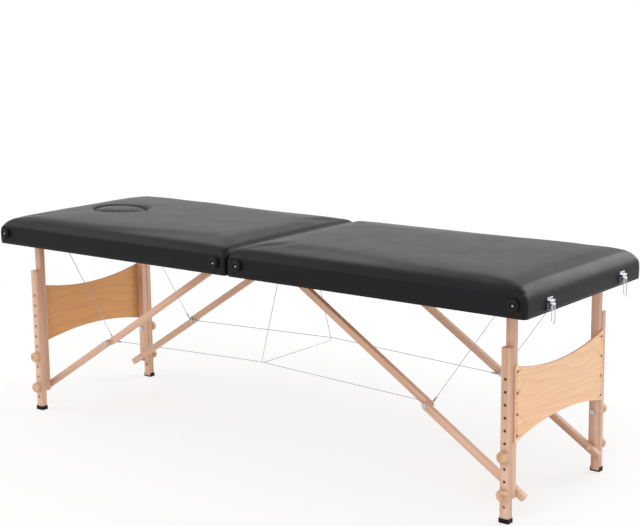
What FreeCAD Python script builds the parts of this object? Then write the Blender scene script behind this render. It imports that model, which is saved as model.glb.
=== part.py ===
import FreeCAD, Part
import math
import os
import re
from FreeCAD import Placement, Rotation, Vector

# Folding two-section massage table, in millimetres.
# X runs along the table (foot end at +X), Y across it, Z up; the floor is Z = 0 and
# the origin lies under the middle of the table.

DIMENSIONS = [
    # top
    ("top_length", 1820), ("top_width", 600), ("split_gap", 2), ("underside_height", 526),
    ("rail_depth", 46), ("rail_thickness", 20), ("board_thickness", 5), ("cover_thickness", 2),
    ("corner_radius", 8), ("pad_edge_height", 25), ("pad_crown", 10), ("pad_edge_radius", 22),
    ("pad_split_radius", 10),
    # face hole and its plug
    ("hole_from_end", 218), ("hole_length", 188), ("hole_breadth", 134), ("plug_gap", 1.5),
    ("plug_ledge", 8), ("plug_crown", 6),
    # centre hinges
    ("hinge_drop", 4), ("hinge_offset", 230), ("leaf_length", 60), ("leaf_reach", 23), ("leaf_thickness", 2),
    ("knuckle_radius", 3.5), ("hinge_pin_radius", 2), ("knuckle_gap", 0.4),
    # legs
    ("leg_setback", 82), ("pivot_rise", 19), ("leg_spread", 247), ("lower_leg_width", 26),
    ("lower_leg_thickness", 20), ("upper_leg_width", 22), ("upper_leg_thickness", 18),
    ("upper_leg_head", 11), ("upper_leg_tail", 15),
    ("lower_leg_top", 438), ("foot_height", 12), ("foot_wall", 1.2), ("foot_socket", 8),
    ("hole_pitch", 32), ("hole_count", 11), ("lowest_hole", 41), ("leg_hole_radius", 4.25),
    ("panel_thickness", 6), ("panel_top", 392), ("panel_bottom", 200), ("panel_top_dip", 30),
    ("panel_bottom_rise", 28), ("panel_screw_rows", 4), ("panel_screw_inset", 16),
    ("screw_radius", 3.5), ("screw_depth", 12),
    # bolts and knobs
    ("bolt_radius", 4), ("bolt_head_radius", 7), ("bolt_head", 4), ("running_fit", 0.05), ("side_gap", 0.4),
    ("knob_radius", 15), ("knob_length", 15), ("knob_bore_depth", 11.5), ("knob_rounding", 3),
    ("knob_gap", 0.3),
    # braces
    ("brace_width", 18), ("brace_thickness", 15), ("brace_tail", 34), ("brace_gap", 1),
    ("hanger_setback", 75), ("hanger_rise", 32), ("hanger_length", 40), ("hanger_thickness", 25),
    ("block_length", 44), ("block_drop", 10),
    # cables
    ("cable_radius", 0.9), ("cable_eye_radius", 3), ("cable_eye_length", 12), ("cable_eye_setback", 28),
    ("cable_centre_height", 262), ("cable_spread", 4), ("stirrup_drop", 6), ("stirrup_bend", 24),
    # trim
    ("bumper_radius", 15), ("bumper_top_radius", 12), ("bumper_length", 12), ("bumper_rise", 31),
    ("bumper_end", 30),
    ("bumper_centre", 40), ("bumper_screw_radius", 5), ("bumper_screw_head", 2),
    ("handle_span", 220), ("handle_rise", 50), ("handle_width", 25), ("handle_thickness", 4),
    # draw latches
    ("latch_offset", 188), ("latch_rise", 26), ("latch_width", 26), ("latch_above", 9), ("latch_below", 21),
    ("latch_plate", 2), ("latch_ear", 2), ("latch_pin_reach", 6), ("latch_pin_radius", 1.5),
    ("lever_length", 22),
    ("lever_thickness", 2), ("bail_sleeve_radius", 2.4), ("bail_wire_radius", 1.2), ("bail_width", 16),
    ("bail_hang", 8),
    ("bail_drop", 47), ("strike_rise", 13), ("strike_width", 8), ("strike_height", 6), ("strike_reach", 6),
    ("latch_gap", 0.3),
]

doc = FreeCAD.newDocument("massage_table")
sheet = doc.addObject("Spreadsheet::Sheet", "dims")
for row, (alias, value) in enumerate(DIMENSIONS, start=1):
    sheet.set(f"A{row}", alias)
    sheet.set(f"B{row}", str(value))
    sheet.setAlias(f"B{row}", alias)
doc.recompute()

ALIASES = [alias for alias, value in DIMENSIONS]
ENDS = (("foot", 1), ("head", -1))
SIDES = (("near", -1), ("far", 1))
subparts = []


def formula(text):
    """Expression text with each dimension's name tied to its spreadsheet cell."""
    return re.sub(r"[a-z_]+", lambda word: f"dims.{word[0]}" if word[0] in ALIASES else word[0], str(text))


def size(alias):
    return float(getattr(sheet, alias))


def bind(obj, formulas):
    for prop, text in formulas.items():
        obj.setExpression(prop, formula(text))
    return obj


def span(limits, side):
    """Lower limit of a span given for the positive side, mirrored for the negative one."""
    low, high = limits
    return low if side > 0 else f"-({high})"


def box(name, x, y, z, x_side=1, y_side=1):
    obj = doc.addObject("Part::Box", name)
    bind(obj, {
        "Length": f"({x[1]}) - ({x[0]})",
        "Width": f"({y[1]}) - ({y[0]})",
        "Height": f"({z[1]}) - ({z[0]})",
        "Placement.Base.x": span(x, x_side),
        "Placement.Base.y": span(y, y_side),
        "Placement.Base.z": z[0],
    })
    return obj


def rod(name, radius, x, y, z, x_side=1, y_side=1):
    """Cylinder along Y between the two values of y, centred on x and z."""
    obj = doc.addObject("Part::Cylinder", name)
    obj.Placement = Placement(Vector(), Rotation(Vector(1, 0, 0), -90))
    bind(obj, {
        "Radius": radius,
        "Height": f"({y[1]}) - ({y[0]})",
        "Placement.Base.x": f"{x_side} * ({x})",
        "Placement.Base.y": span(y, y_side),
        "Placement.Base.z": z,
    })
    return obj


def bar(name, radius, x, y, z, x_side=1, y_side=1):
    """Cylinder along X between the two values of x, centred on y and z."""
    obj = doc.addObject("Part::Cylinder", name)
    obj.Placement = Placement(Vector(), Rotation(Vector(0, 1, 0), 90))
    bind(obj, {
        "Radius": radius,
        "Height": f"({x[1]}) - ({x[0]})",
        "Placement.Base.x": span(x, x_side),
        "Placement.Base.y": f"{y_side} * ({y})",
        "Placement.Base.z": z,
    })
    return obj


def post(name, radius, x, y, z, x_side=1, y_side=1):
    """Cylinder along Z between the two values of z."""
    obj = doc.addObject("Part::Cylinder", name)
    bind(obj, {
        "Radius": radius,
        "Height": f"({z[1]}) - ({z[0]})",
        "Placement.Base.x": f"{x_side} * ({x})",
        "Placement.Base.y": f"{y_side} * ({y})",
        "Placement.Base.z": z[0],
    })
    return obj


def group(name, members):
    obj = doc.addObject("Part::Compound", name)
    obj.Links = members
    return obj


def fuse(name, members):
    obj = doc.addObject("Part::MultiFuse", name)
    obj.Shapes = members
    return obj


def cut(name, base, tools):
    obj = doc.addObject("Part::Cut", name)
    obj.Base = base
    obj.Tool = tools[0] if len(tools) == 1 else fuse(f"{name}_tools", tools)
    return obj


def feature(name, shape):
    obj = doc.addObject("Part::Feature", name)
    obj.Shape = shape
    return obj


def subpart(label, obj):
    obj.Label = label
    subparts.append(obj)
    return obj


# Derived places, as formulas of the dimensions
HALF = "top_length / 2"
SPLIT = "split_gap / 2"
BACK = "top_width / 2"
RAIL_X = (f"{SPLIT} + cover_thickness", f"{HALF} - cover_thickness")
RAIL_Y = f"{BACK} - cover_thickness"
CAVITY_Y = f"{RAIL_Y} - rail_thickness"
RAIL_TOP = "underside_height + rail_depth"
BOARD_TOP = f"{RAIL_TOP} + board_thickness"
PAD_EDGE = f"{BOARD_TOP} + pad_edge_height"
PIVOT_X = f"{HALF} - leg_setback"
PIVOT_Z = "underside_height + pivot_rise"
HANGER_Z = "underside_height + hanger_rise"
HINGE_Z = "underside_height - hinge_drop"
LOWER_LEG_Y = ("leg_spread - lower_leg_thickness", "leg_spread")
UPPER_LEG_Y = (f"{LOWER_LEG_Y[0]} - upper_leg_thickness", LOWER_LEG_Y[0])
LEG_FACE = f"{PIVOT_X} + upper_leg_width / 2"
LOW_BOLT_Z = "lowest_hole + hole_pitch"
HIGH_BOLT_Z = "lowest_hole + 4 * hole_pitch"
BRACE_FACE = f"{UPPER_LEG_Y[0]} - bolt_head - brace_gap"
LOWER_BRACE_Y = (f"{BRACE_FACE} - brace_thickness", BRACE_FACE)
UPPER_BRACE_Y = (f"{LOWER_BRACE_Y[0]} - knob_gap - brace_thickness", f"{LOWER_BRACE_Y[0]} - knob_gap")
HANGER_Y = (f"{UPPER_BRACE_Y[0]} - side_gap - hanger_thickness", f"{UPPER_BRACE_Y[0]} - side_gap")
CABLE_Y = f"{UPPER_BRACE_Y[0]} - bolt_head - cable_radius - knob_gap"

# The folding brace is straight when the leg is down and doubled back level when the leg is folded.
# Its two lengths follow from where its end pivots lie in those two positions.
REACH = f"({PIVOT_X} - hanger_setback)"
DROP = f"({HANGER_Z} - ({LOW_BOLT_Z}))"
STRAIGHT = f"sqrt({REACH}^2 + {DROP}^2)"
FOLDED = f"({REACH} - ({PIVOT_Z}) + {LOW_BOLT_Z})"
FOLD_RISE = "(hanger_rise - pivot_rise)"
UPPER_BRACE = f"(({STRAIGHT}^2 - {FOLDED}^2 - {FOLD_RISE}^2) / (2 * ({STRAIGHT} - {FOLDED})))"
LOWER_BRACE = f"({STRAIGHT} - {UPPER_BRACE})"
BRACE_SLOPE = f"atan2({DROP}; {REACH})"
KNEE_X = f"hanger_setback + {UPPER_BRACE} * {REACH} / {STRAIGHT}"
KNEE_Z = f"{HANGER_Z} - {UPPER_BRACE} * {DROP} / {STRAIGHT}"


def number(text):
    """Present value of a formula, measured on a throwaway cell of the sheet."""
    sheet.set("D1", f"={text}")
    sheet.recompute()
    found = sheet.get("D1")
    sheet.clear("D1")
    return float(getattr(found, "Value", found))


def rounded_plan(inset, base, height, side):
    """Prism of one half's plan with rounded corners, drawn in by inset."""
    x0 = number(SPLIT) + inset
    x1 = number(HALF) - inset
    y1 = number(BACK) - inset
    prism = Part.makeBox(x1 - x0, 2 * y1, height, Vector(x0 if side > 0 else -x1, -y1, base))
    upright = [edge for edge in prism.Edges if abs(edge.tangentAt(edge.FirstParameter).z) > 0.99]
    return prism.makeFillet(size("corner_radius") - inset, upright)


def crowned_face(low, high, base, edge, crown, low_radius, high_radius, place):
    """Face of a cushion's section: flat base, upright sides, rounded edges and a crowned top."""
    slant = 1 - math.sqrt(0.5)
    corner_low = [place(low, edge - low_radius),
                  place(low + low_radius * slant, edge - low_radius * slant),
                  place(low + low_radius, edge)]
    corner_high = [place(high - high_radius, edge),
                   place(high - high_radius * slant, edge - high_radius * slant),
                   place(high, edge - high_radius)]
    middle = place((low + high) / 2, edge + crown)
    edges = [
        Part.LineSegment(place(low, base), corner_low[0]).toShape(),
        Part.Arc(*corner_low).toShape(),
        Part.Arc(corner_low[2], middle, corner_high[0]).toShape(),
        Part.Arc(*corner_high).toShape(),
        Part.LineSegment(corner_high[2], place(high, base)).toShape(),
        Part.LineSegment(place(high, base), place(low, base)).toShape(),
    ]
    return Part.Face(Part.Wire(edges))


def cushion(side):
    """Crowned pad of one half: the two crowned sections run through each other inside the plan."""
    base = number(BOARD_TOP)
    edge = number(PAD_EDGE)
    crown = size("pad_crown")
    x0 = number(SPLIT)
    x1 = number(HALF)
    y1 = number(BACK)
    round_edge = size("pad_edge_radius")
    split_edge = size("pad_split_radius")
    across = crowned_face(-y1, y1, base, edge, crown, round_edge, round_edge, lambda u, v: Vector(0, u, v))
    across = across.extrude(Vector(side * x1, 0, 0))
    if side > 0:
        along = crowned_face(x0, x1, base, edge, crown, split_edge, round_edge,
                             lambda u, v: Vector(u, -y1, v))
    else:
        along = crowned_face(-x1, -x0, base, edge, crown, round_edge, split_edge,
                             lambda u, v: Vector(u, -y1, v))
    along = along.extrude(Vector(0, 2 * y1, 0))
    plan = rounded_plan(0, base, edge + crown - base, side)
    return across.common(along).common(plan)


def oval(name, grow, z):
    """Upright oval prism on the face hole's axis, larger than the hole by grow all round."""
    ring = doc.addObject("Part::Ellipse", f"{name}_outline")
    bind(ring, {
        "MajorRadius": f"hole_length / 2 + ({grow})",
        "MinorRadius": f"hole_breadth / 2 + ({grow})",
        "Placement.Base.x": f"hole_from_end - {HALF}",
        "Placement.Base.z": z[0],
    })
    prism = doc.addObject("Part::Extrusion", name)
    prism.Base = ring
    prism.DirMode = "Custom"
    prism.Dir = Vector(0, 0, 1)
    prism.Solid = True
    bind(prism, {"LengthFwd": f"({z[1]}) - ({z[0]})"})
    return prism


def make_top(end, side):
    """Upholstered frame of one half: cushion, cover skirt, board and rails."""
    pad = feature(f"{end}_pad_blank", cushion(side))
    board = box(f"{end}_board_blank", RAIL_X, (f"-({RAIL_Y})", RAIL_Y), (RAIL_TOP, BOARD_TOP), side)
    doc.recompute()
    fillet = doc.addObject("Part::Fillet", f"{end}_board_rounded")
    fillet.Base = board
    inner_radius = size("corner_radius") - size("cover_thickness")
    fillet.Edges = [(index, inner_radius, inner_radius)
                    for index, edge in enumerate(board.Shape.Edges, start=1)
                    if abs(edge.tangentAt(edge.FirstParameter).z) > 0.99]
    if side < 0:
        tall = ("underside_height", f"{PAD_EDGE} + 2 * pad_crown")
        pad = cut("head_pad_cut", pad, [oval("face_hole", "0", tall)])
        fillet = cut("head_board_cut", fillet, [oval("face_hole_in_board", "-plug_ledge", tall)])
    subpart(f"{end}_pad", pad)
    subpart(f"{end}_board", fillet)

    base = size("underside_height")
    skirt_height = number(BOARD_TOP) - base
    cover = size("cover_thickness")
    skirt = rounded_plan(0, base, skirt_height, side).cut(rounded_plan(cover, base, skirt_height, side))
    subpart(f"{end}_cover_skirt", feature(f"{end}_skirt", skirt))

    depth = ("underside_height", RAIL_TOP)
    cross_y = f"{RAIL_Y} - corner_radius"
    inner_x = (f"{RAIL_X[0]} + rail_thickness", f"{RAIL_X[1]} - rail_thickness")
    rails = [box(f"{end}_rail_{name}", inner_x, (CAVITY_Y, RAIL_Y), depth, side, y_side)
             for name, y_side in SIDES]
    rails.append(box(f"{end}_rail_centre", (RAIL_X[0], inner_x[0]), (f"-({cross_y})", cross_y), depth, side))
    rails.append(box(f"{end}_rail_end", (inner_x[1], RAIL_X[1]), (f"-({cross_y})", cross_y), depth, side))
    subpart(f"{end}_rails", group(f"{end}_rail_set", rails))


def make_face_plug():
    """Padded plug that fills the face hole and rests on the board's ledge."""
    body = oval("plug_blank", "-plug_gap", (BOARD_TOP, f"{PAD_EDGE} + pad_crown + plug_crown"))
    dome = doc.addObject("Part::Sphere", "plug_dome")
    rise = "(plug_crown + pad_crown / 2)"
    dome_radius = f"((hole_length / 2)^2 + {rise}^2) / (2 * {rise})"
    bind(dome, {
        "Radius": dome_radius,
        "Placement.Base.x": f"hole_from_end - {HALF}",
        "Placement.Base.z": f"{PAD_EDGE} + pad_crown + plug_crown / 2 - {dome_radius}",
    })
    plug = doc.addObject("Part::Common", "plug_crowned")
    plug.Base = body
    plug.Tool = dome
    subpart("face_plug", plug)


def make_pivots(end, side):
    """Blocks under the board that carry the leg and brace pivots, and their bolts."""
    blocks = []
    bolts = []
    block_x = (f"{PIVOT_X} - block_length / 2", f"{PIVOT_X} + block_length / 2")
    block_y = (f"{UPPER_LEG_Y[1]} + side_gap", CAVITY_Y)
    block_z = ("underside_height + block_drop", RAIL_TOP)
    hanger_x = ("hanger_setback - hanger_length / 2", "hanger_setback + hanger_length / 2")
    for name, y_side in SIDES:
        tag = f"{end}_{name}"
        leg_block = box(f"{tag}_leg_block", block_x, block_y, block_z, side, y_side)
        leg_head_y = (f"{UPPER_LEG_Y[0]} - side_gap - bolt_head", f"{UPPER_LEG_Y[0]} - side_gap")
        leg_shank_y = (leg_head_y[1], f"{CAVITY_Y} - bolt_radius")
        leg_bore = rod(f"{tag}_leg_bore", "bolt_radius", PIVOT_X, leg_shank_y, PIVOT_Z, side, y_side)
        blocks.append(cut(f"{tag}_leg_block_bored", leg_block, [leg_bore]))
        leg_shank = rod(f"{tag}_leg_shank", "bolt_radius", PIVOT_X, leg_shank_y, PIVOT_Z, side, y_side)
        leg_head = rod(f"{tag}_leg_head", "bolt_head_radius", PIVOT_X, leg_head_y, PIVOT_Z, side, y_side)
        bolts.append(fuse(f"{tag}_leg_bolt", [leg_shank, leg_head]))

        hanger = box(f"{tag}_hanger", hanger_x, HANGER_Y, block_z, side, y_side)
        brace_head_y = (f"{UPPER_BRACE_Y[1]} + side_gap", f"{UPPER_BRACE_Y[1]} + side_gap + bolt_head")
        brace_shank_y = (f"{HANGER_Y[0]} + bolt_radius", brace_head_y[0])
        hanger_bore = rod(f"{tag}_hanger_bore", "bolt_radius", "hanger_setback", brace_shank_y,
                          HANGER_Z, side, y_side)
        blocks.append(cut(f"{tag}_hanger_bored", hanger, [hanger_bore]))
        shank = rod(f"{tag}_brace_shank", "bolt_radius", "hanger_setback", brace_shank_y,
                    HANGER_Z, side, y_side)
        head = rod(f"{tag}_brace_head", "bolt_head_radius", "hanger_setback", brace_head_y,
                   HANGER_Z, side, y_side)
        bolts.append(fuse(f"{tag}_brace_bolt", [shank, head]))
    subpart(f"{end}_pivot_blocks", group(f"{end}_blocks", blocks))
    subpart(f"{end}_pivot_bolts", group(f"{end}_bolts", bolts))


def make_leg_frame(end, side):
    """Leg pair of one end: upper legs, end panel, lower legs with their row of holes, feet and bolts.

    The low bolts run on inward through the lower ends of the braces.
    """
    uppers = []
    lowers = []
    feet = []
    bolts = []
    upper_x = (f"{PIVOT_X} - upper_leg_width / 2", LEG_FACE)
    upper_z = (f"{LOW_BOLT_Z} - upper_leg_tail", f"{PIVOT_Z} + upper_leg_head")
    lower_x = (f"{PIVOT_X} - lower_leg_width / 2", f"{PIVOT_X} + lower_leg_width / 2")
    wall_x = (f"{lower_x[0]} - foot_wall", f"{lower_x[1]} + foot_wall")
    wall_y = (f"{LOWER_LEG_Y[0]} + knob_gap", f"{LOWER_LEG_Y[1]} + foot_wall")
    foot_floor = "foot_height - foot_socket"
    for name, y_side in SIDES:
        tag = f"{end}_{name}"
        upper = box(f"{tag}_upper_leg", upper_x, UPPER_LEG_Y, upper_z, side, y_side)
        pivot_radius = "bolt_radius + running_fit"
        bores = [rod(f"{tag}_pivot_hole", pivot_radius, PIVOT_X, UPPER_LEG_Y, PIVOT_Z, side, y_side)]
        for level, height in (("low", LOW_BOLT_Z), ("high", HIGH_BOLT_Z)):
            hole_name = f"{tag}_upper_hole_{level}"
            bores.append(rod(hole_name, "bolt_radius", PIVOT_X, UPPER_LEG_Y, height, side, y_side))
            head_y = (f"{UPPER_LEG_Y[0]} - bolt_head", UPPER_LEG_Y[0])
            shank_y = (UPPER_LEG_Y[0], f"{LOWER_LEG_Y[1]} + knob_bore_depth")
            shank = rod(f"{tag}_clamp_shank_{level}", "bolt_radius", PIVOT_X, shank_y, height, side, y_side)
            head = rod(f"{tag}_clamp_head_{level}", "bolt_head_radius", PIVOT_X, head_y, height, side, y_side)
            members = [shank, head]
            if level == "low":
                stub_y = (LOWER_BRACE_Y[0], head_y[0])
                members.append(rod(f"{tag}_brace_stub", "bolt_radius", PIVOT_X, stub_y, height, side, y_side))
            bolts.append(fuse(f"{tag}_clamp_bolt_{level}", members))
        uppers.append(cut(f"{tag}_upper_leg_bored", upper, bores))

        lower = box(f"{tag}_lower_leg", lower_x, LOWER_LEG_Y, (foot_floor, "lower_leg_top"), side, y_side)
        holes = [rod(f"{tag}_hole_{step}", "leg_hole_radius", PIVOT_X, LOWER_LEG_Y,
                     f"lowest_hole + {step} * hole_pitch", side, y_side)
                 for step in range(int(size("hole_count")))]
        lowers.append(cut(f"{tag}_lower_leg_bored", lower, holes))

        cap = box(f"{tag}_foot_cap", wall_x, wall_y, ("0", "foot_height"), side, y_side)
        socket = box(f"{tag}_foot_socket", lower_x, LOWER_LEG_Y, (foot_floor, "foot_height"), side, y_side)
        feet.append(cut(f"{tag}_foot", cap, [socket]))
    subpart(f"{end}_lower_legs", group(f"{end}_lower_leg_pair", lowers))
    subpart(f"{end}_leg_feet", group(f"{end}_feet", feet))
    subpart(f"{end}_clamp_bolts", group(f"{end}_clamp_bolt_set", bolts))

    panel_x = (LEG_FACE, f"{LEG_FACE} + panel_thickness")
    panel_y = UPPER_LEG_Y[1]
    blank = box(f"{end}_panel_blank", panel_x, (f"-({panel_y})", panel_y),
                ("panel_bottom", "panel_top"), side)
    top_radius = f"(({panel_y})^2 + panel_top_dip^2) / (2 * panel_top_dip)"
    bottom_radius = f"(({panel_y})^2 + panel_bottom_rise^2) / (2 * panel_bottom_rise)"
    scoops = [
        bar(f"{end}_panel_top_scoop", top_radius, panel_x, "0",
            f"panel_top - panel_top_dip + {top_radius}", side),
        bar(f"{end}_panel_bottom_scoop", bottom_radius, panel_x, "0",
            f"panel_bottom + panel_bottom_rise - {bottom_radius}", side),
    ]
    screws = []
    panel_holes = []
    leg_holes = {"near": [], "far": []}
    screw_rows = int(size("panel_screw_rows"))
    row_pitch = "(panel_top - panel_bottom - 2 * panel_screw_inset) / (panel_screw_rows - 1)"
    screw_y = f"{UPPER_LEG_Y[0]} + upper_leg_thickness / 2"
    screw_x = (f"{LEG_FACE} - screw_depth", panel_x[1])
    for name, y_side in SIDES:
        for row in range(screw_rows):
            tag = f"{end}_{name}_{row}"
            height = f"panel_bottom + panel_screw_inset + {row} * {row_pitch}"
            screws.append(bar(f"{tag}_screw", "screw_radius", screw_x, screw_y, height, side, y_side))
            panel_holes.append(
                bar(f"{tag}_panel_hole", "screw_radius", panel_x, screw_y, height, side, y_side))
            leg_x = (screw_x[0], LEG_FACE)
            leg_holes[name].append(
                bar(f"{tag}_leg_hole", "screw_radius", leg_x, screw_y, height, side, y_side))
    subpart(f"{end}_end_panel", cut(f"{end}_panel", blank, scoops + panel_holes))
    subpart(f"{end}_panel_screws", group(f"{end}_screws", screws))
    drilled = [cut(f"{end}_{name}_upper_leg_drilled", leg, leg_holes[name])
               for (name, y_side), leg in zip(SIDES, uppers)]
    subpart(f"{end}_upper_legs", group(f"{end}_upper_leg_pair", drilled))


def make_knob(label, side, y_side, height):
    """Turned wooden clamp knob with a blind bore for the end of its bolt."""
    body = doc.addObject("PartDesign::Body", f"{label}_body")
    disc = body.newObject("PartDesign::AdditiveCylinder", f"{label}_disc")
    bind(disc, {"Radius": "knob_radius", "Height": "knob_length"})
    doc.recompute()
    rims = [f"Edge{index}" for index, edge in enumerate(disc.Shape.Edges, start=1) if edge.Closed]
    rounding = body.newObject("PartDesign::Fillet", f"{label}_rounding")
    rounding.Base = (disc, rims)
    bind(rounding, {"Radius": "knob_rounding"})
    bore = body.newObject("PartDesign::SubtractiveCylinder", f"{label}_bore")
    bind(bore, {"Radius": "bolt_radius + running_fit", "Height": "knob_bore_depth"})
    body.Placement = Placement(Vector(), Rotation(Vector(1, 0, 0), -90 * y_side))
    bind(body, {
        "Placement.Base.x": f"{side} * ({PIVOT_X})",
        "Placement.Base.y": f"{y_side} * (leg_spread + knob_gap)",
        "Placement.Base.z": height,
    })
    subpart(label, body)


def brace(name, length, tail, bores):
    """Flat bar along +X from its first pivot, thickness along +Y from 0, rounded about its pivots.

    With a tail it runs on past its second pivot and ends square.
    """
    thick = ("0", "brace_thickness")
    members = [box(f"{name}_blank", ("0", f"{length} + {tail}"), thick,
                   ("-brace_width / 2", "brace_width / 2"))]
    round_ends = ["0"] if tail != "0" else ["0", length]
    for index, x in enumerate(round_ends):
        members.append(rod(f"{name}_round_{index}", "brace_width / 2", x, thick, "0"))
    holes = [rod(f"{name}_hole_{index}", radius, x, thick, "0") for index, (x, radius) in enumerate(bores)]
    return cut(name, fuse(f"{name}_solid", members), holes)


def place_brace(obj, x, y, z, side):
    """Tilt a bar down from its first pivot toward the foot of the leg."""
    obj.Placement = Placement(Vector(), Rotation(Vector(0, 1, 0), 1))
    tilt = BRACE_SLOPE if side > 0 else f"180 deg - {BRACE_SLOPE}"
    bind(obj, {
        "Placement.Rotation.Angle": tilt,
        "Placement.Base.x": f"{side} * ({x})",
        "Placement.Base.y": y,
        "Placement.Base.z": z,
    })
    return obj


def make_braces(end, side):
    """Two-piece folding braces of one end; each piece holds its half of the knee bolt."""
    uppers = []
    lowers = []
    knee_bolts = []
    knee_nuts = []
    loose = "bolt_radius + running_fit"
    upper_bores = [("0", loose), (UPPER_BRACE, "bolt_radius")]
    lower_bores = [("0", "bolt_radius"), (LOWER_BRACE, loose)]
    bolt_head_y = (f"{UPPER_BRACE_Y[0]} - bolt_head", UPPER_BRACE_Y[0])
    nut_head_y = (LOWER_BRACE_Y[1], f"{LOWER_BRACE_Y[1]} + bolt_head / 2")
    for name, y_side in SIDES:
        tag = f"{end}_{name}"
        upper = brace(f"{tag}_upper_brace", UPPER_BRACE, "0", upper_bores)
        uppers.append(place_brace(upper, "hanger_setback", span(UPPER_BRACE_Y, y_side), HANGER_Z, side))
        lower = brace(f"{tag}_lower_brace", LOWER_BRACE, "brace_tail", lower_bores)
        lowers.append(place_brace(lower, KNEE_X, span(LOWER_BRACE_Y, y_side), KNEE_Z, side))
        knee_bolts.append(fuse(f"{tag}_knee_bolt", [
            rod(f"{tag}_knee_shank", "bolt_radius", KNEE_X, UPPER_BRACE_Y, KNEE_Z, side, y_side),
            rod(f"{tag}_knee_head", "bolt_head_radius", KNEE_X, bolt_head_y, KNEE_Z, side, y_side),
        ]))
        knee_nuts.append(fuse(f"{tag}_knee_nut", [
            rod(f"{tag}_knee_sleeve", "bolt_radius", KNEE_X, LOWER_BRACE_Y, KNEE_Z, side, y_side),
            rod(f"{tag}_knee_cap", "bolt_head_radius", KNEE_X, nut_head_y, KNEE_Z, side, y_side),
        ]))
    subpart(f"{end}_upper_braces", group(f"{end}_upper_brace_pair", uppers))
    subpart(f"{end}_lower_braces", group(f"{end}_lower_brace_pair", lowers))
    subpart(f"{end}_knee_bolts", group(f"{end}_knee_bolt_pair", knee_bolts))
    subpart(f"{end}_knee_nuts", group(f"{end}_knee_nut_pair", knee_nuts))


def tube(points, radius):
    """Round wire through the points, with a tangent arc at each inner point."""
    bend = size("stirrup_bend")
    edges = []
    start = points[0]
    for before, corner, after in zip(points, points[1:], points[2:]):
        back = (before - corner).normalize()
        ahead = (after - corner).normalize()
        half_turn = (math.pi - back.getAngle(ahead)) / 2
        setback = bend * math.tan(half_turn)
        arc_start = corner + back * setback
        arc_end = corner + ahead * setback
        bisector = (back + ahead).normalize()
        arc_middle = corner + bisector * (bend / math.cos(half_turn) - bend)
        edges.append(Part.LineSegment(start, arc_start).toShape())
        edges.append(Part.Arc(arc_start, arc_middle, arc_end).toShape())
        start = arc_end
    edges.append(Part.LineSegment(start, points[-1]).toShape())
    path = Part.Wire(edges)
    section = Part.Wire(Part.makeCircle(radius, points[0], points[1] - points[0]))
    return path.makePipeShell([section], True, False)


def hung_from(top, below, radius):
    """Start of a wire that meets the level face at top with its rim while it runs to the point below."""
    run = below - top
    lean = math.sqrt(run.x ** 2 + run.y ** 2) / run.Length
    return top + run * (radius * lean / abs(run.z))


def make_cables(end, side):
    """Steel stay cables of one half, and the eyes that hold them under the board."""
    radius = size("cable_radius")
    cable_y = number(CABLE_Y)
    eye_x = f"{PIVOT_X} - cable_eye_setback"
    eye_span = (f"{RAIL_TOP} - cable_eye_length", RAIL_TOP)
    centre = size("cable_centre_height")
    wires = []
    eyes = []
    for name, y_side in SIDES:
        y = y_side * cable_y
        knee = Vector(side * number(KNEE_X), y, number(KNEE_Z))
        eye_end = Vector(side * number(eye_x), y, number(eye_span[0]))
        wires.append(tube([hung_from(eye_end, knee, radius), knee], radius))
        inward = knee + Vector(-side * size("cable_spread"), 0, radius)
        wires.append(tube([inward, Vector(side * number(SPLIT), y, centre)], radius))
        eyes.append(post(f"{end}_{name}_eye", "cable_eye_radius", eye_x, CABLE_Y, eye_span, side, y_side))
    if side > 0:
        wires.append(stirrup(centre - size("stirrup_drop"), radius))
    subpart(f"{end}_cables", feature(f"{end}_cable_set", Part.makeCompound(wires)))
    subpart(f"{end}_cable_eyes", group(f"{end}_eyes", eyes))


def stirrup(low, radius):
    """Centre cable from the foot half's near hanger, under the long cables, to the head half's far hanger."""
    y = number(f"({HANGER_Y[0]} + {HANGER_Y[1]}) / 2")
    top = number("underside_height + block_drop")
    hang = size("hanger_setback")
    near = Vector(0, -y, low)
    far = Vector(0, y, low)
    start = hung_from(Vector(hang, -y, top), near, radius)
    finish = hung_from(Vector(-hang, y, top), far, radius)
    return tube([start, near, far, finish], radius)


def make_hinges():
    """Pair of butt hinges under the split, with their pins."""
    third = "leaf_length / 3"
    clear_x = "knuckle_radius + 2 * knuckle_gap"
    leaf_z = ("underside_height - leaf_thickness", "underside_height")
    pins = []
    for end, side in ENDS:
        leaves = []
        for name, y_side in SIDES:
            tag = f"{end}_{name}_hinge"
            low = f"({y_side} * hinge_offset - leaf_length / 2)"
            leaf = box(f"{tag}_leaf", (clear_x, "leaf_reach"), (low, f"{low} + leaf_length"), leaf_z, side)
            if side > 0:
                knuckle_spans = [(f"{low} + {third} + knuckle_gap", f"{low} + 2 * {third} - knuckle_gap")]
            else:
                knuckle_spans = [(low, f"{low} + {third}"), (f"{low} + 2 * {third}", f"{low} + leaf_length")]
            members = [leaf]
            for index, knuckle_y in enumerate(knuckle_spans):
                members.append(rod(f"{tag}_knuckle_{index}", "knuckle_radius", "0", knuckle_y, HINGE_Z))
                members.append(box(f"{tag}_tab_{index}", ("0", clear_x), knuckle_y, leaf_z, side))
            bore = rod(f"{tag}_bore", "hinge_pin_radius + running_fit", "0",
                       (low, f"{low} + leaf_length"), HINGE_Z)
            leaves.append(cut(f"{tag}_bored", fuse(f"{tag}_solid", members), [bore]))
            if side > 0:
                pins.append(
                    rod(f"{tag}_pin", "hinge_pin_radius", "0", (low, f"{low} + leaf_length"), HINGE_Z))
        subpart(f"{end}_hinge_leaves", group(f"{end}_leaf_pair", leaves))
    subpart("centre_hinge_pins", group("hinge_pin_pair", pins))


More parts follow.
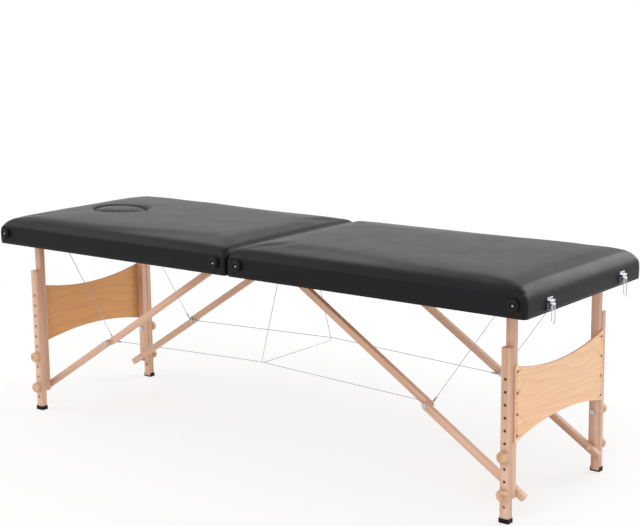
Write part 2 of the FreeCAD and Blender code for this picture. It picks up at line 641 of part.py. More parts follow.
def make_bumpers(end, side):
    """Rubber feet on the near side that the folded case stands on, each held by a screw."""
    feet = []
    screws = []
    height = "underside_height + bumper_rise"
    for place, x in (("end", f"{HALF} - bumper_end"), ("centre", "bumper_centre")):
        tag = f"{end}_{place}_bumper"
        outer_y = f"{BACK} + bumper_length"
        dome = doc.addObject("Part::Cone", tag)
        dome.Placement = Placement(Vector(), Rotation(Vector(1, 0, 0), 90))
        bind(dome, {
            "Radius1": "bumper_radius", "Radius2": "bumper_top_radius", "Height": "bumper_length",
            "Placement.Base.x": f"{side} * ({x})",
            "Placement.Base.y": f"-({BACK})",
            "Placement.Base.z": height,
        })
        head_y = (f"{outer_y} - bumper_screw_head", outer_y)
        recess = rod(f"{tag}_recess", "bumper_screw_radius", x, head_y, height, side, -1)
        feet.append(cut(f"{tag}_recessed", dome, [recess]))
        screws.append(rod(f"{tag}_screw", "bumper_screw_radius", x, head_y, height, side, -1))
    subpart(f"{end}_side_bumpers", group(f"{end}_bumper_pair", feet))
    subpart(f"{end}_bumper_screws", group(f"{end}_bumper_screw_pair", screws))


def make_handle():
    """Webbing carry strap, an arch on the far side of the foot half."""
    middle = number(HALF) / 2
    foot = number(BACK)
    low = size("underside_height") + size("rail_depth") / 2 - size("handle_width") / 2
    reach = size("handle_span") / 2
    rise = size("handle_rise")
    thick = size("handle_thickness")
    outer = Part.Arc(Vector(middle - reach, foot, low), Vector(middle, foot + rise, low),
                     Vector(middle + reach, foot, low)).toShape()
    inner = Part.Arc(Vector(middle - reach + thick, foot, low), Vector(middle, foot + rise - thick, low),
                     Vector(middle + reach - thick, foot, low)).toShape()
    ends = [Part.LineSegment(Vector(middle + way * reach, foot, low),
                             Vector(middle + way * (reach - thick), foot, low)).toShape() for way in (-1, 1)]
    outline = Part.Wire(Part.__sortEdges__([outer, inner] + ends))
    strap = Part.Face(outline).extrude(Vector(0, 0, size("handle_width")))
    subpart("carry_handle", feature("handle_strap", strap))


def make_bail(name, y_side, x, z, y):
    """Wire loop of a latch: a bar in the lever's sleeve, two arms and a round bottom."""
    bend = "bail_width / 2"
    bend_z = f"{z} - bail_drop + {bend}"
    members = [rod(f"{name}_bail_bar", "bail_wire_radius", x, y, z)]
    for index, arm_y in enumerate(y):
        members.append(post(f"{name}_bail_arm_{index}", "bail_wire_radius", x, arm_y, (bend_z, z)))
        elbow = doc.addObject("Part::Sphere", f"{name}_bail_elbow_{index}")
        members.append(bind(elbow, {
            "Radius": "bail_wire_radius",
            "Placement.Base.x": x, "Placement.Base.y": arm_y, "Placement.Base.z": z,
        }))
    bottom = doc.addObject("Part::Torus", f"{name}_bail_bottom")
    bottom.Angle3 = 180
    turned = Rotation(Vector(0, 0, -1), Vector(0, 1, 0), Vector(1, 0, 0), "ZYX")
    bottom.Placement = Placement(Vector(), turned)
    members.append(bind(bottom, {
        "Radius1": bend, "Radius2": "bail_wire_radius",
        "Placement.Base.x": x, "Placement.Base.y": f"{y_side} * latch_offset", "Placement.Base.z": bend_z,
    }))
    return fuse(f"{name}_bail", members)


def make_latches():
    """Draw latches on the foot end: plate with ears, lever and wire bail; strikes on the head end."""
    plates = []
    strikes = []
    plate_x = (HALF, f"{HALF} + latch_plate")
    pin_x = f"{HALF} + latch_pin_reach"
    pin_z = "underside_height + latch_rise"
    plate_z = (f"{pin_z} - latch_below", f"{pin_z} + latch_above")
    ear_reach = f"{pin_x} + 2 * latch_pin_radius"
    for name, y_side in SIDES:
        low = f"({y_side} * latch_offset - latch_width / 2)"
        high = f"({y_side} * latch_offset + latch_width / 2)"
        plate = box(f"{name}_latch_plate", plate_x, (low, high), plate_z)
        ear_z = (f"{pin_z} - 2 * latch_pin_radius", f"{pin_z} + 2 * latch_pin_radius")
        ears = [box(f"{name}_latch_ear_{index}", (plate_x[1], ear_reach), ear_y, ear_z)
                for index, ear_y in enumerate(((low, f"{low} + latch_ear"), (f"{high} - latch_ear", high)))]
        pin_y = (f"{low} + latch_ear", f"{high} - latch_ear")
        pin = rod(f"{name}_latch_pin", "latch_pin_radius", pin_x, pin_y, pin_z)
        plates.append(fuse(f"{name}_latch_base", [plate] + ears + [pin]))

        lever_y = (f"{low} + latch_ear + latch_gap", f"{high} - latch_ear - latch_gap")
        barrel = rod(f"{name}_lever_barrel", "2 * latch_pin_radius", pin_x, lever_y, pin_z)
        flap_x = (f"{ear_reach} - lever_thickness", ear_reach)
        flap = box(f"{name}_lever_flap", flap_x, lever_y, (f"{pin_z} - lever_length", pin_z))
        bail_x = f"{ear_reach} + bail_sleeve_radius - lever_thickness / 4"
        bail_z = f"{pin_z} - bail_hang"
        bail_low = f"({y_side} * latch_offset - bail_width / 2)"
        bail_high = f"({y_side} * latch_offset + bail_width / 2)"
        sleeve_y = (f"{bail_low} + bail_wire_radius + latch_gap",
                    f"{bail_high} - bail_wire_radius - latch_gap")
        sleeve = rod(f"{name}_bail_sleeve", "bail_sleeve_radius", bail_x, sleeve_y, bail_z)
        bores = [
            rod(f"{name}_lever_bore", "latch_pin_radius + running_fit", pin_x, lever_y, pin_z),
            rod(f"{name}_bail_bore", "bail_wire_radius + running_fit", bail_x, sleeve_y, bail_z),
        ]
        lever = cut(f"{name}_lever", fuse(f"{name}_lever_solid", [barrel, flap, sleeve]), bores)
        subpart(f"{name}_latch_lever", lever)
        subpart(f"{name}_latch_bail", make_bail(name, y_side, bail_x, bail_z, (bail_low, bail_high)))

        strike_z = ("underside_height + strike_rise - strike_height / 2",
                    "underside_height + strike_rise + strike_height / 2")
        strike_plate = box(f"{name}_strike_plate", plate_x, (low, high), plate_z, -1)
        tongue_x = (plate_x[1], f"{plate_x[1]} + strike_reach")
        tongue_y = (f"({y_side} * latch_offset - strike_width / 2)",
                    f"({y_side} * latch_offset + strike_width / 2)")
        tongue = box(f"{name}_strike_tongue", tongue_x, tongue_y, strike_z, -1)
        strikes.append(fuse(f"{name}_strike", [strike_plate, tongue]))
    subpart("foot_latch_plates", group("latch_plate_pair", plates))
    subpart("head_latch_strikes", group("strike_pair", strikes))


for end, side in ENDS:
    make_top(end, side)
    make_pivots(end, side)
    make_leg_frame(end, side)
    make_braces(end, side)
    make_cables(end, side)
    make_bumpers(end, side)
    for name, y_side in SIDES:
        make_knob(f"{end}_{name}_low_knob", side, y_side, LOW_BOLT_Z)
        make_knob(f"{end}_{name}_high_knob", side, y_side, HIGH_BOLT_Z)
make_face_plug()
make_hinges()
make_handle()
make_latches()
doc.recompute()

for obj in doc.Objects:
    if "Invalid" in obj.State or "Error" in obj.State:
        raise RuntimeError(f"{obj.Name} failed: {obj.State}")
for obj in subparts:
    if obj.Shape.isNull() or not obj.Shape.isValid():
        raise RuntimeError(f"{obj.Label} has no valid shape")

os.makedirs("parts", exist_ok=True)
for obj in subparts:
    obj.Shape.exportStep(f"parts/{obj.Label}.step")
print(f"{len(subparts)} sub-parts written")
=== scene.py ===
import math

import bmesh
import bpy
from mathutils import Matrix, Vector, noise


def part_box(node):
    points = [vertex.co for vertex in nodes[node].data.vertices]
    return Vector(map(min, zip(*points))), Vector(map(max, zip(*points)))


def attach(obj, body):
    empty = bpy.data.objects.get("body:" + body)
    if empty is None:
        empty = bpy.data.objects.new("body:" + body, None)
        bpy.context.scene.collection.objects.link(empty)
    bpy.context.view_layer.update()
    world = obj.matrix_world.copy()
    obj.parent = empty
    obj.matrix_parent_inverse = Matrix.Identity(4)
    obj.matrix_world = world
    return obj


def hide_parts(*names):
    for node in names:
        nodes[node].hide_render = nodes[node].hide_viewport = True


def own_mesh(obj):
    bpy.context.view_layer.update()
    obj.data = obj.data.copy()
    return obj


# Folding massage table in black leathercloth and beech, dressed over its construction model.
# Metres; X runs to the foot end, Y to the side with the carry strap, Z up.

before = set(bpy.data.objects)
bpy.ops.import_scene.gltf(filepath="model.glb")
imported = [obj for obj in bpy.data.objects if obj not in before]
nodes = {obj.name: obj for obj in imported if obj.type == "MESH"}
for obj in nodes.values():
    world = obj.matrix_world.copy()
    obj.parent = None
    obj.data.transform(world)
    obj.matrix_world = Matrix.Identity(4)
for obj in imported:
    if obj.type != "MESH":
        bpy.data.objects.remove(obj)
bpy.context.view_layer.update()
scene = bpy.context.scene

ENDS = (("foot", 1), ("head", -1))
SIDES = (-1, 1)
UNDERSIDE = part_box("foot_rails")[0].z
BOARD_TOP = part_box("foot_board")[1].z
HALF_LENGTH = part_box("foot_pad")[1].x
HALF_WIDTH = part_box("foot_pad")[1].y
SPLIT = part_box("foot_pad")[0].x
BRACE_SLOPE = math.radians(32.785)
CREASE = math.radians(40)
SNAP = 1e-6
HAIR = 0.0001


# Camera

def set_camera():
    data = bpy.data.cameras.new("photo_camera")
    data.lens = 82.38
    data.sensor_width = 36
    data.clip_end = 60
    camera = bpy.data.objects.new("photo_camera", data)
    camera.location = (2.539, -3.174, 1.295)
    camera.rotation_euler = (math.radians(79.10), math.radians(0.64), math.radians(37.59))
    scene.collection.objects.link(camera)
    scene.camera = camera


# Finishes

# Backs of the end panels from the middle of the table, and the thickness of two plies.
PANEL_BACK = 0.8393
PLY_PAIR = 0.0015
VENEER_LINES = 46.0
# Turns that bring the grain into line with X.
UPRIGHT = (0, math.pi / 2, 0)
LENGTHWISE = (0, 0, 0)
ACROSS = (0, 0, -math.pi / 2)
# Pale and dark tone of each wood.
BEECH = ((0.765, 0.505, 0.375), (0.51, 0.285, 0.182))
TURNED_BEECH = ((0.70, 0.46, 0.29), (0.47, 0.275, 0.155))
PALE_VENEER = ((0.93, 0.585, 0.345), (0.87, 0.515, 0.285))
# The head panel's tones are darker and more golden than the foot panel's: partly a deeper varnish, partly
# painted shade of its place under the table.
GOLDEN_AND_SHADED_VENEER = ((0.70, 0.345, 0.125), (0.645, 0.302, 0.102))
WHITE = (1, 1, 1)
# Rounding of the edges by finish.
EASED_EDGES = {"leg": 0.003, "foot_brace": 0.0022, "head_brace": 0.0022, "foot_panel": 0.0008,
               "head_panel": 0.0008, "rail": 0.0015, "rubber": 0.002, "chrome": 0.0005}


def start_finish(name):
    """New finish with its node tree and shader."""
    material = bpy.data.materials.new(name)
    material.use_nodes = True
    tree = material.node_tree
    return material, tree, tree.nodes["Principled BSDF"]


def add_node(tree, kind, sockets=None, **settings):
    made = tree.nodes.new(kind)
    for key, value in settings.items():
        setattr(made, key, value)
    for key, value in (sockets or {}).items():
        if isinstance(value, bpy.types.NodeSocket):
            tree.links.new(value, made.inputs[key])
        else:
            made.inputs[key].default_value = value
    return made


def piece_place(tree, turn=(0, 0, 0), stretch=(1, 1, 1)):
    """Object coordinates, turned and then stretched."""
    source = add_node(tree, "ShaderNodeTexCoord").outputs["Object"]
    turned = add_node(tree, "ShaderNodeMapping", {"Vector": source, "Rotation": turn}).outputs["Vector"]
    return add_node(tree, "ShaderNodeMapping", {"Vector": turned, "Scale": stretch}).outputs["Vector"]


def cloudy(tree, place, scale, detail=3.0, rough=0.5):
    sockets = {"Vector": place, "Scale": scale, "Detail": detail, "Roughness": rough}
    return add_node(tree, "ShaderNodeTexNoise", sockets).outputs["Fac"]


def wavy(tree, place, scale, distortion, detail=2.0, **settings):
    sockets = {"Vector": place, "Scale": scale, "Distortion": distortion, "Detail": detail}
    return add_node(tree, "ShaderNodeTexWave", sockets, **settings).outputs["Fac"]


def worked_out(tree, operation, *values):
    """Result of one step of arithmetic on values or sockets."""
    made = add_node(tree, "ShaderNodeMath", dict(enumerate(values)), operation=operation)
    return made.outputs["Value"]


def coordinate(tree, place, axis):
    """One of the three coordinates of a place."""
    return add_node(tree, "ShaderNodeSeparateXYZ", {"Vector": place}).outputs[axis]


def between(pale, dark, share):
    """Colour that share of the way from pale to dark."""
    return [a * (1 - share) + b * share for a, b in zip(pale, dark)]


def ramp(tree, source, stops):
    """Colour for a value, from (position, colour) stops."""
    made = add_node(tree, "ShaderNodeValToRGB", {"Fac": source})
    points = made.color_ramp.elements
    while len(points) < len(stops):
        points.new(0.5)
    for point, (position, colour) in zip(points, stops):
        point.position = position
        point.color = (*colour, 1)
    return made.outputs["Color"]


def blend_colours(tree, mode, amount, first, second):
    made = add_node(tree, "ShaderNodeMix", data_type="RGBA", blend_type=mode)
    for socket, value in zip((made.inputs[0], made.inputs[6], made.inputs[7]), (amount, first, second)):
        if isinstance(value, bpy.types.NodeSocket):
            tree.links.new(value, socket)
        else:
            socket.default_value = value
    return made.outputs[2]


def span_value(tree, source, low, high):
    made = add_node(tree, "ShaderNodeMapRange", {"Value": source, "To Min": low, "To Max": high})
    return made.outputs["Result"]


def raise_grain(tree, shader, height, strength, distance, under=None):
    sockets = {"Height": height, "Strength": strength, "Distance": distance}
    if under is not None:
        sockets["Normal"] = under
    made = add_node(tree, "ShaderNodeBump", sockets)
    tree.links.new(made.outputs["Normal"], shader.inputs["Normal"])
    return made.outputs["Normal"]


def leathercloth():
    """Black coated cloth with a fine pebble grain and soft rubbed patches."""
    material, tree, shader = start_finish("black_leathercloth")
    place = piece_place(tree)
    patches = cloudy(tree, place, 7.0, 4.0)
    tone = ramp(tree, patches, [(0.3, (0.0042, 0.0036, 0.0046)), (0.7, (0.0068, 0.0060, 0.0073))])
    tree.links.new(tone, shader.inputs["Base Color"])
    rub = cloudy(tree, place, 16.0, 5.0, 0.6)
    tree.links.new(span_value(tree, rub, 0.31, 0.42), shader.inputs["Roughness"])
    shader.inputs["IOR"].default_value = 1.26
    pebbles = add_node(tree, "ShaderNodeTexVoronoi", {"Vector": place, "Scale": 850.0, "Randomness": 1.0},
                       feature="SMOOTH_F1")
    ripple = raise_grain(tree, shader, cloudy(tree, place, 22.0, 2.0), 0.07, 0.004)
    raise_grain(tree, shader, pebbles.outputs["Distance"], 0.07, 0.0005, ripple)
    return material


def sawn_wood(name, tones, turn, figure=(1.4, 34.0, 34.0)):
    """Close-grained lacquered wood; the grain runs along X once the piece is turned."""
    material, tree, shader = start_finish(name)
    pale, dark = tones
    along = piece_place(tree, turn, figure)
    growth = cloudy(tree, along, 1.0, 5.0, 0.55)
    tone = ramp(tree, growth, [(0.34, dark), (0.47, between(pale, dark, 0.4)), (0.62, pale)])
    broad = cloudy(tree, piece_place(tree, turn, (1.2, 5.0, 5.0)), 1.0, 2.0)
    warm = ramp(tree, broad, [(0.35, (0.90, 0.84, 0.78)), (0.65, WHITE)])
    tone = blend_colours(tree, "MULTIPLY", 1.0, tone, warm)
    pores = cloudy(tree, piece_place(tree, turn, (110.0, 1500.0, 1500.0)), 1.0, 1.0)
    flecks = ramp(tree, pores, [(0.60, WHITE), (0.72, (0.66, 0.52, 0.42))])
    tone = blend_colours(tree, "MULTIPLY", 0.5, tone, flecks)
    tree.links.new(tone, shader.inputs["Base Color"])
    tree.links.new(span_value(tree, growth, 0.38, 0.54), shader.inputs["Roughness"])
    raise_grain(tree, shader, pores, 0.08, 0.0004)
    return material


def veneered_panel(name, tones):
    """Plywood with a quiet flowing face veneer, the grain across the table, and plies along its edges."""
    material, tree, shader = start_finish(name)
    pale, dark = tones
    flow = cloudy(tree, piece_place(tree, ACROSS, (2.4, 3.0, 9.0)), 1.0, 1.0)
    height = coordinate(tree, piece_place(tree, ACROSS), "Z")
    bent = worked_out(tree, "MULTIPLY_ADD", flow, 0.16, height)
    phase = worked_out(tree, "FRACT", worked_out(tree, "MULTIPLY", bent, VENEER_LINES))
    tone = ramp(tree, phase, [(0.0, pale), (0.55, between(pale, dark, 0.4)), (0.86, dark), (1.0, pale)])
    streaks = cloudy(tree, piece_place(tree, ACROSS, (5.0, 330.0, 330.0)), 1.0, 4.0, 0.6)
    streaky = ramp(tree, streaks, [(0.3, (0.8, 0.73, 0.66)), (0.6, WHITE)])
    tone = blend_colours(tree, "MULTIPLY", 0.45, tone, streaky)
    inward = worked_out(tree, "ABSOLUTE", coordinate(tree, piece_place(tree), "X"))
    depth = worked_out(tree, "SUBTRACT", inward, PANEL_BACK)
    plies = worked_out(tree, "FRACT", worked_out(tree, "DIVIDE", depth, PLY_PAIR))
    layers = ramp(tree, plies, [(0.42, (0.66, 0.52, 0.40)), (0.5, WHITE)])
    tone = blend_colours(tree, "MULTIPLY", 1.0, tone, layers)
    tree.links.new(tone, shader.inputs["Base Color"])
    tree.links.new(span_value(tree, streaks, 0.32, 0.46), shader.inputs["Roughness"])
    raise_grain(tree, shader, streaks, 0.06, 0.0004)
    return material


def fibre_board():
    """Bare hardboard, brown and finely speckled."""
    material, tree, shader = start_finish("bare_hardboard")
    place = piece_place(tree)
    fibres = cloudy(tree, place, 420.0, 3.0, 0.7)
    tone = ramp(tree, fibres, [(0.3, (0.20, 0.125, 0.07)), (0.7, (0.38, 0.26, 0.155))])
    broad = ramp(tree, cloudy(tree, place, 5.0, 3.0), [(0.3, (0.86, 0.84, 0.82)), (0.7, WHITE)])
    tree.links.new(blend_colours(tree, "MULTIPLY", 1.0, tone, broad), shader.inputs["Base Color"])
    tree.links.new(span_value(tree, fibres, 0.6, 0.8), shader.inputs["Roughness"])
    raise_grain(tree, shader, fibres, 0.15, 0.0004)
    return material


def moulded_rubber():
    """Dull black rubber with a faint bloom."""
    material, tree, shader = start_finish("moulded_rubber")
    place = piece_place(tree)
    bloom = cloudy(tree, place, 60.0, 4.0)
    tone = ramp(tree, bloom, [(0.3, (0.004, 0.004, 0.0043)), (0.75, (0.009, 0.009, 0.0096))])
    tree.links.new(tone, shader.inputs["Base Color"])
    tree.links.new(span_value(tree, bloom, 0.42, 0.6), shader.inputs["Roughness"])
    shader.inputs["IOR"].default_value = 1.28
    raise_grain(tree, shader, cloudy(tree, place, 900.0, 2.0), 0.08, 0.0004)
    return material


def plated_steel(name, colour, smooth, dull):
    """Plated metal with faint handling marks."""
    material, tree, shader = start_finish(name)
    place = piece_place(tree)
    marks = cloudy(tree, place, 130.0, 5.0, 0.65)
    low = [c * 0.86 for c in colour]
    tree.links.new(ramp(tree, marks, [(0.35, low), (0.65, colour)]), shader.inputs["Base Color"])
    shader.inputs["Metallic"].default_value = 1.0
    tree.links.new(span_value(tree, marks, smooth, dull), shader.inputs["Roughness"])
    return material


def stranded_wire():
    """Galvanised wire rope: slanting strands in light and shade."""
    material, tree, shader = start_finish("stranded_wire")
    place = piece_place(tree, (0.6, 0.5, 0.4))
    lay = wavy(tree, place, 260.0, 1.2, 1.0)
    tone = ramp(tree, lay, [(0.15, (0.34, 0.34, 0.35)), (0.7, (0.62, 0.62, 0.64))])
    tree.links.new(tone, shader.inputs["Base Color"])
    shader.inputs["Metallic"].default_value = 0.7
    tree.links.new(span_value(tree, lay, 0.32, 0.55), shader.inputs["Roughness"])
    raise_grain(tree, shader, lay, 0.4, 0.0006)
    return material


def woven_webbing():
    """Black webbing with a twill of raised threads, with painted light on the raised threads and painted
    shade in the hollows between them.
    """
    material, tree, shader = start_finish("woven_webbing")
    place = piece_place(tree, (0, 0, math.radians(12)))
    warp = wavy(tree, place, 170.0, 0.4, bands_direction="Z")
    weft = wavy(tree, place, 120.0, 0.4, bands_direction="X")
    weave = worked_out(tree, "MULTIPLY", warp, weft)
    # Painted light and shade of the weave: the raised threads lighter, the hollows between them darker.
    tone = ramp(tree, weave, [(0.1, (0.006, 0.006, 0.007)), (0.8, (0.026, 0.026, 0.028))])
    tree.links.new(tone, shader.inputs["Base Color"])
    tree.links.new(span_value(tree, weave, 0.62, 0.8), shader.inputs["Roughness"])
    raise_grain(tree, shader, weave, 0.5, 0.0008)
    return material


finish = {
    "cover": leathercloth(),
    "leg": sawn_wood("beech_upright", BEECH, UPRIGHT),
    "rail": sawn_wood("beech_lengthwise", BEECH, LENGTHWISE),
    "foot_brace": sawn_wood("beech_brace_foot", BEECH, (0, -BRACE_SLOPE, 0)),
    "head_brace": sawn_wood("beech_brace_head", BEECH, (0, BRACE_SLOPE, 0)),
    "knob": sawn_wood("beech_turned", TURNED_BEECH, ACROSS, (9.0, 70.0, 70.0)),
    "foot_panel": veneered_panel("veneer_pale", PALE_VENEER),
    # The head panel's darker veneer is partly painted shade from under the table.
    "head_panel": veneered_panel("veneer_golden_and_shaded", GOLDEN_AND_SHADED_VENEER),
    "board": fibre_board(),
    "rubber": moulded_rubber(),
    "steel": plated_steel("zinc_plate", (0.58, 0.58, 0.60), 0.28, 0.46),
    "dark_steel": plated_steel("darkened_steel", (0.085, 0.08, 0.078), 0.35, 0.5),
    "dull_steel": plated_steel("dulled_steel", (0.36, 0.36, 0.37), 0.34, 0.5),
    "chrome": plated_steel("bright_chrome", (0.52, 0.52, 0.54), 0.1, 0.22),
    "wire": stranded_wire(),
    "webbing": woven_webbing(),
}


def finish_of(name):
    """Finish of a construction node by what it is."""
    end = name.split("_")[0]
    if "latch" in name:
        return "chrome"
    if name.endswith("_panel_screws"):
        return "dark_steel"
    if name.endswith(("_bolts", "_nuts", "_screws", "_leaves", "_pins", "_eyes")):
        return "steel"
    if name.endswith("_cables"):
        return "wire"
    if name.endswith(("_leg_feet", "_side_bumpers")):
        return "rubber"
    if name.endswith("_end_panel"):
        return f"{end}_panel"
    if name.endswith("_braces"):
        return f"{end}_brace"
    if name.endswith("_legs"):
        return "leg"
    if name.endswith("_knob"):
        return "knob"
    if name.endswith("_board"):
        return "board"
    if name.endswith(("_rails", "_pivot_blocks")):
        return "rail"
    if name == "carry_handle":
        return "webbing"
    return "cover"


def dress_nodes():
    """Finish on every construction node; sawn and pressed pieces get eased edges."""
    for name, obj in nodes.items():
        kind = finish_of(name)
        obj.data.materials.clear()
        obj.data.materials.append(finish[kind])
        if kind in EASED_EDGES:
            weld = obj.modifiers.new("joined_faces", "WELD")
            weld.merge_threshold = 0.00002
            ease = obj.modifiers.new("eased_edges", "BEVEL")
            ease.width = EASED_EDGES[kind]
            ease.segments = 3
            ease.limit_method = "ANGLE"
            ease.angle_limit = math.radians(50)
            ease.use_clamp_overlap = True
            ease.harden_normals = True


# Making pieces

FILL_STEPS = 20


def finished(name, bm, material):
    """Piece with that finish from a finished mesh."""
    mesh = bpy.data.meshes.new(name)
    bm.to_mesh(mesh)
    bm.free()
    mesh.materials.append(finish[material])
    mesh.shade_smooth()
    obj = bpy.data.objects.new(name, mesh)
    scene.collection.objects.link(obj)
    return obj


def joined(name, parts, material):
    """One piece from several meshes, in their order."""
    whole = bmesh.new()
    for part in parts:
        mesh = bpy.data.meshes.new("part")
        part.to_mesh(mesh)
        part.free()
        whole.from_mesh(mesh)
        bpy.data.meshes.remove(mesh)
    return finished(name, whole, material)


def ease_bevel(bm, edges, width, segments):
    bmesh.ops.bevel(bm, geom=edges, offset=width, segments=segments, profile=0.5, affect="EDGES",
                    material=-1, clamp_overlap=True)


def square_edges(bm):
    """Edges where two faces meet at about a right angle."""
    return [edge for edge in bm.edges if edge.calc_face_angle(0) > 1.0]


def upright_edges(bm, least):
    """Edges that rise by more than the given length."""
    return [edge for edge in bm.edges if abs(edge.verts[0].co.z - edge.verts[1].co.z) > least]


def everything(bm):
    """All points, edges and faces."""
    return bm.verts[:] + bm.edges[:] + bm.faces[:]


def trim_below(bm, geometry, level):
    """Cut off what lies below the level."""
    bmesh.ops.bisect_plane(bm, geom=geometry, dist=SNAP, plane_co=(0, 0, level), plane_no=(0, 0, 1),
                           clear_inner=True)


def held_share(value):
    """Value held between 0 and 1."""
    return max(0.0, min(1.0, value))


def edges_of(items):
    return [item for item in items if isinstance(item, bmesh.types.BMEdge)]


def baked(obj):
    """Mesh of the piece as its modifiers leave it."""
    bpy.context.view_layer.update()
    shown = obj.evaluated_get(bpy.context.evaluated_depsgraph_get())
    return bpy.data.meshes.new_from_object(shown)


def take_mesh(obj, mesh):
    """Give the piece a new mesh in place of its own and its modifiers."""
    old = obj.data
    obj.modifiers.clear()
    obj.data = mesh
    bpy.data.meshes.remove(old)


def remesh_evenly(obj, voxel):
    step = obj.modifiers.new("even_mesh", "REMESH")
    step.mode = "VOXEL"
    step.voxel_size = voxel
    take_mesh(obj, baked(obj))


def subdivide_once(obj):
    step = obj.modifiers.new("finer", "SUBSURF")
    step.levels = 1
    step.render_levels = 1
    take_mesh(obj, baked(obj))


def settle(obj, rolls, rounds):
    """Even out the filled top; only points for which rolls is true move."""
    bm = bmesh.new()
    bm.from_mesh(obj.data)
    upper = [vert for vert in bm.verts if rolls(vert.co)]
    for _ in range(rounds):
        bmesh.ops.smooth_vert(bm, verts=upper, factor=0.5, use_axis_x=True, use_axis_y=True,
                              use_axis_z=True)
    bm.to_mesh(obj.data)
    bm.free()


def puff(obj, pressure, cap, tacked):
    """Fill a cover by cloth simulation; tacked gives how firmly each point is held, from 0 to 1."""
    start = [vert.co.copy() for vert in obj.data.vertices]
    held = obj.vertex_groups.new(name="tacked")
    for vert in obj.data.vertices:
        held.add([vert.index], tacked(vert.co), "REPLACE")
    cloth = obj.modifiers.new("stuffing", "CLOTH")
    cloth.settings.quality = 6
    cloth.settings.mass = 0.25
    cloth.settings.tension_stiffness = 20
    cloth.settings.compression_stiffness = 20
    cloth.settings.shear_stiffness = 12
    cloth.settings.bending_stiffness = 1.5
    cloth.settings.use_pressure = True
    cloth.settings.uniform_pressure_force = pressure
    cloth.settings.vertex_group_mass = "tacked"
    cloth.settings.effector_weights.gravity = 0
    cloth.collision_settings.use_collision = False
    cloth.point_cache.frame_start = 1
    cloth.point_cache.frame_end = FILL_STEPS
    for step in range(1, FILL_STEPS + 1):
        scene.frame_set(step)
    mesh = baked(obj)
    for vert, rest in zip(mesh.vertices, start):
        move = vert.co - rest
        if move.length > cap:
            vert.co = rest + move * (cap / move.length)
    take_mesh(obj, mesh)
    scene.frame_set(1)


# Upholstery

# Pressure of the filling and the farthest that the cover may move.
CUSHION_FILLING = (3.0, 0.003)
PLUG_FILLING = (4.0, 0.0035)
CUSHION_MESH = 0.0065
PLUG_MESH = 0.004
HOLE_CENTRE = Vector((-0.692, 0.0, 0.0))
HOLE_LONG = 0.094
HOLE_SHORT = 0.067
PLUG_LEDGE = 0.008
PLUG_GAP = 0.0035
PLUG_RISE = 0.031
PLUG_ROUND = 0.010
PLUG_CROWN = 0.002
PAD_RISE = 0.0235
CORNER_ROUND = 0.008
END_ROUND = 0.045
SIDE_ROUND = 0.029
SPLIT_ROUND = 0.018
END_SLOPE = 0.012
CROWN = 0.010
FRAME_CORNER = 0.017
COVER_WALL = 0.0017
HEM_THICKNESS = 0.0009
HEM_WIDTH = 0.015
REFINED_REACH = 0.05
CORNER_REACH = 0.06
FOLD_DEPTH = 0.0018
SLACK = 0.0006
# Place round the corner, from 0 to 1, and depth of each gather.
GATHERS = ((0.10, 0.0026), (0.33, 0.0016), (0.52, 0.0024), (0.74, 0.0015), (0.92, 0.0022))
GATHER_WIDTH = 0.045


def oval_reach(point):
    """1 on the rim of the face hole, less inside it."""
    return math.hypot((point.x - HOLE_CENTRE.x) / HOLE_LONG, (point.y - HOLE_CENTRE.y) / HOLE_SHORT)


def oval_column(bm, low, high, shrink):
    """Upright oval column on the face hole's axis."""
    bmesh.ops.create_cone(bm, cap_ends=True, cap_tris=False, segments=72, radius1=1, radius2=1,
                          depth=high - low)
    bmesh.ops.scale(bm, vec=(HOLE_LONG - shrink, HOLE_SHORT - shrink, 1), verts=bm.verts)
    bmesh.ops.translate(bm, vec=(HOLE_CENTRE.x, HOLE_CENTRE.y, (low + high) / 2), verts=bm.verts)


def cut_away(obj, cutter):
    """Take the cutter's shape out of the piece; the cutter goes."""
    step = obj.modifiers.new("cut", "BOOLEAN")
    step.object = cutter
    step.operation = "DIFFERENCE"
    step.solver = "EXACT"
    take_mesh(obj, baked(obj))
    bpy.data.objects.remove(cutter)


def cut_face_hole(obj, shrink):
    bm = bmesh.new()
    oval_column(bm, UNDERSIDE - 0.05, BOARD_TOP + 0.1, shrink)
    cut_away(obj, finished("face_hole_cutter", bm, "cover"))


def refine_corners(bm, side):
    """Finer faces round the four upright corners, for the gathers."""
    near = []
    for face in bm.faces:
        middle = face.calc_center_median()
        from_end = min(HALF_LENGTH - side * middle.x, side * middle.x - SPLIT)
        from_side = HALF_WIDTH - abs(middle.y)
        if max(from_end, from_side) < REFINED_REACH and middle.z > UNDERSIDE:
            near.append(face)
    edges = list(dict.fromkeys(edge for face in near for edge in face.edges))
    bmesh.ops.subdivide_edges(bm, edges=edges, cuts=1, use_grid_fill=True)


def eased_step(value):
    """Smooth rise from 0 to 1."""
    share = held_share(value)
    return share * share * (3 - 2 * share)


def at_end_roll(co, side):
    """On the big roll over the end, clear of the corners."""
    clear = abs(co.y) < HALF_WIDTH - 0.03 and co.z > UNDERSIDE + 0.02
    return clear and HALF_LENGTH - side * co.x < END_ROUND


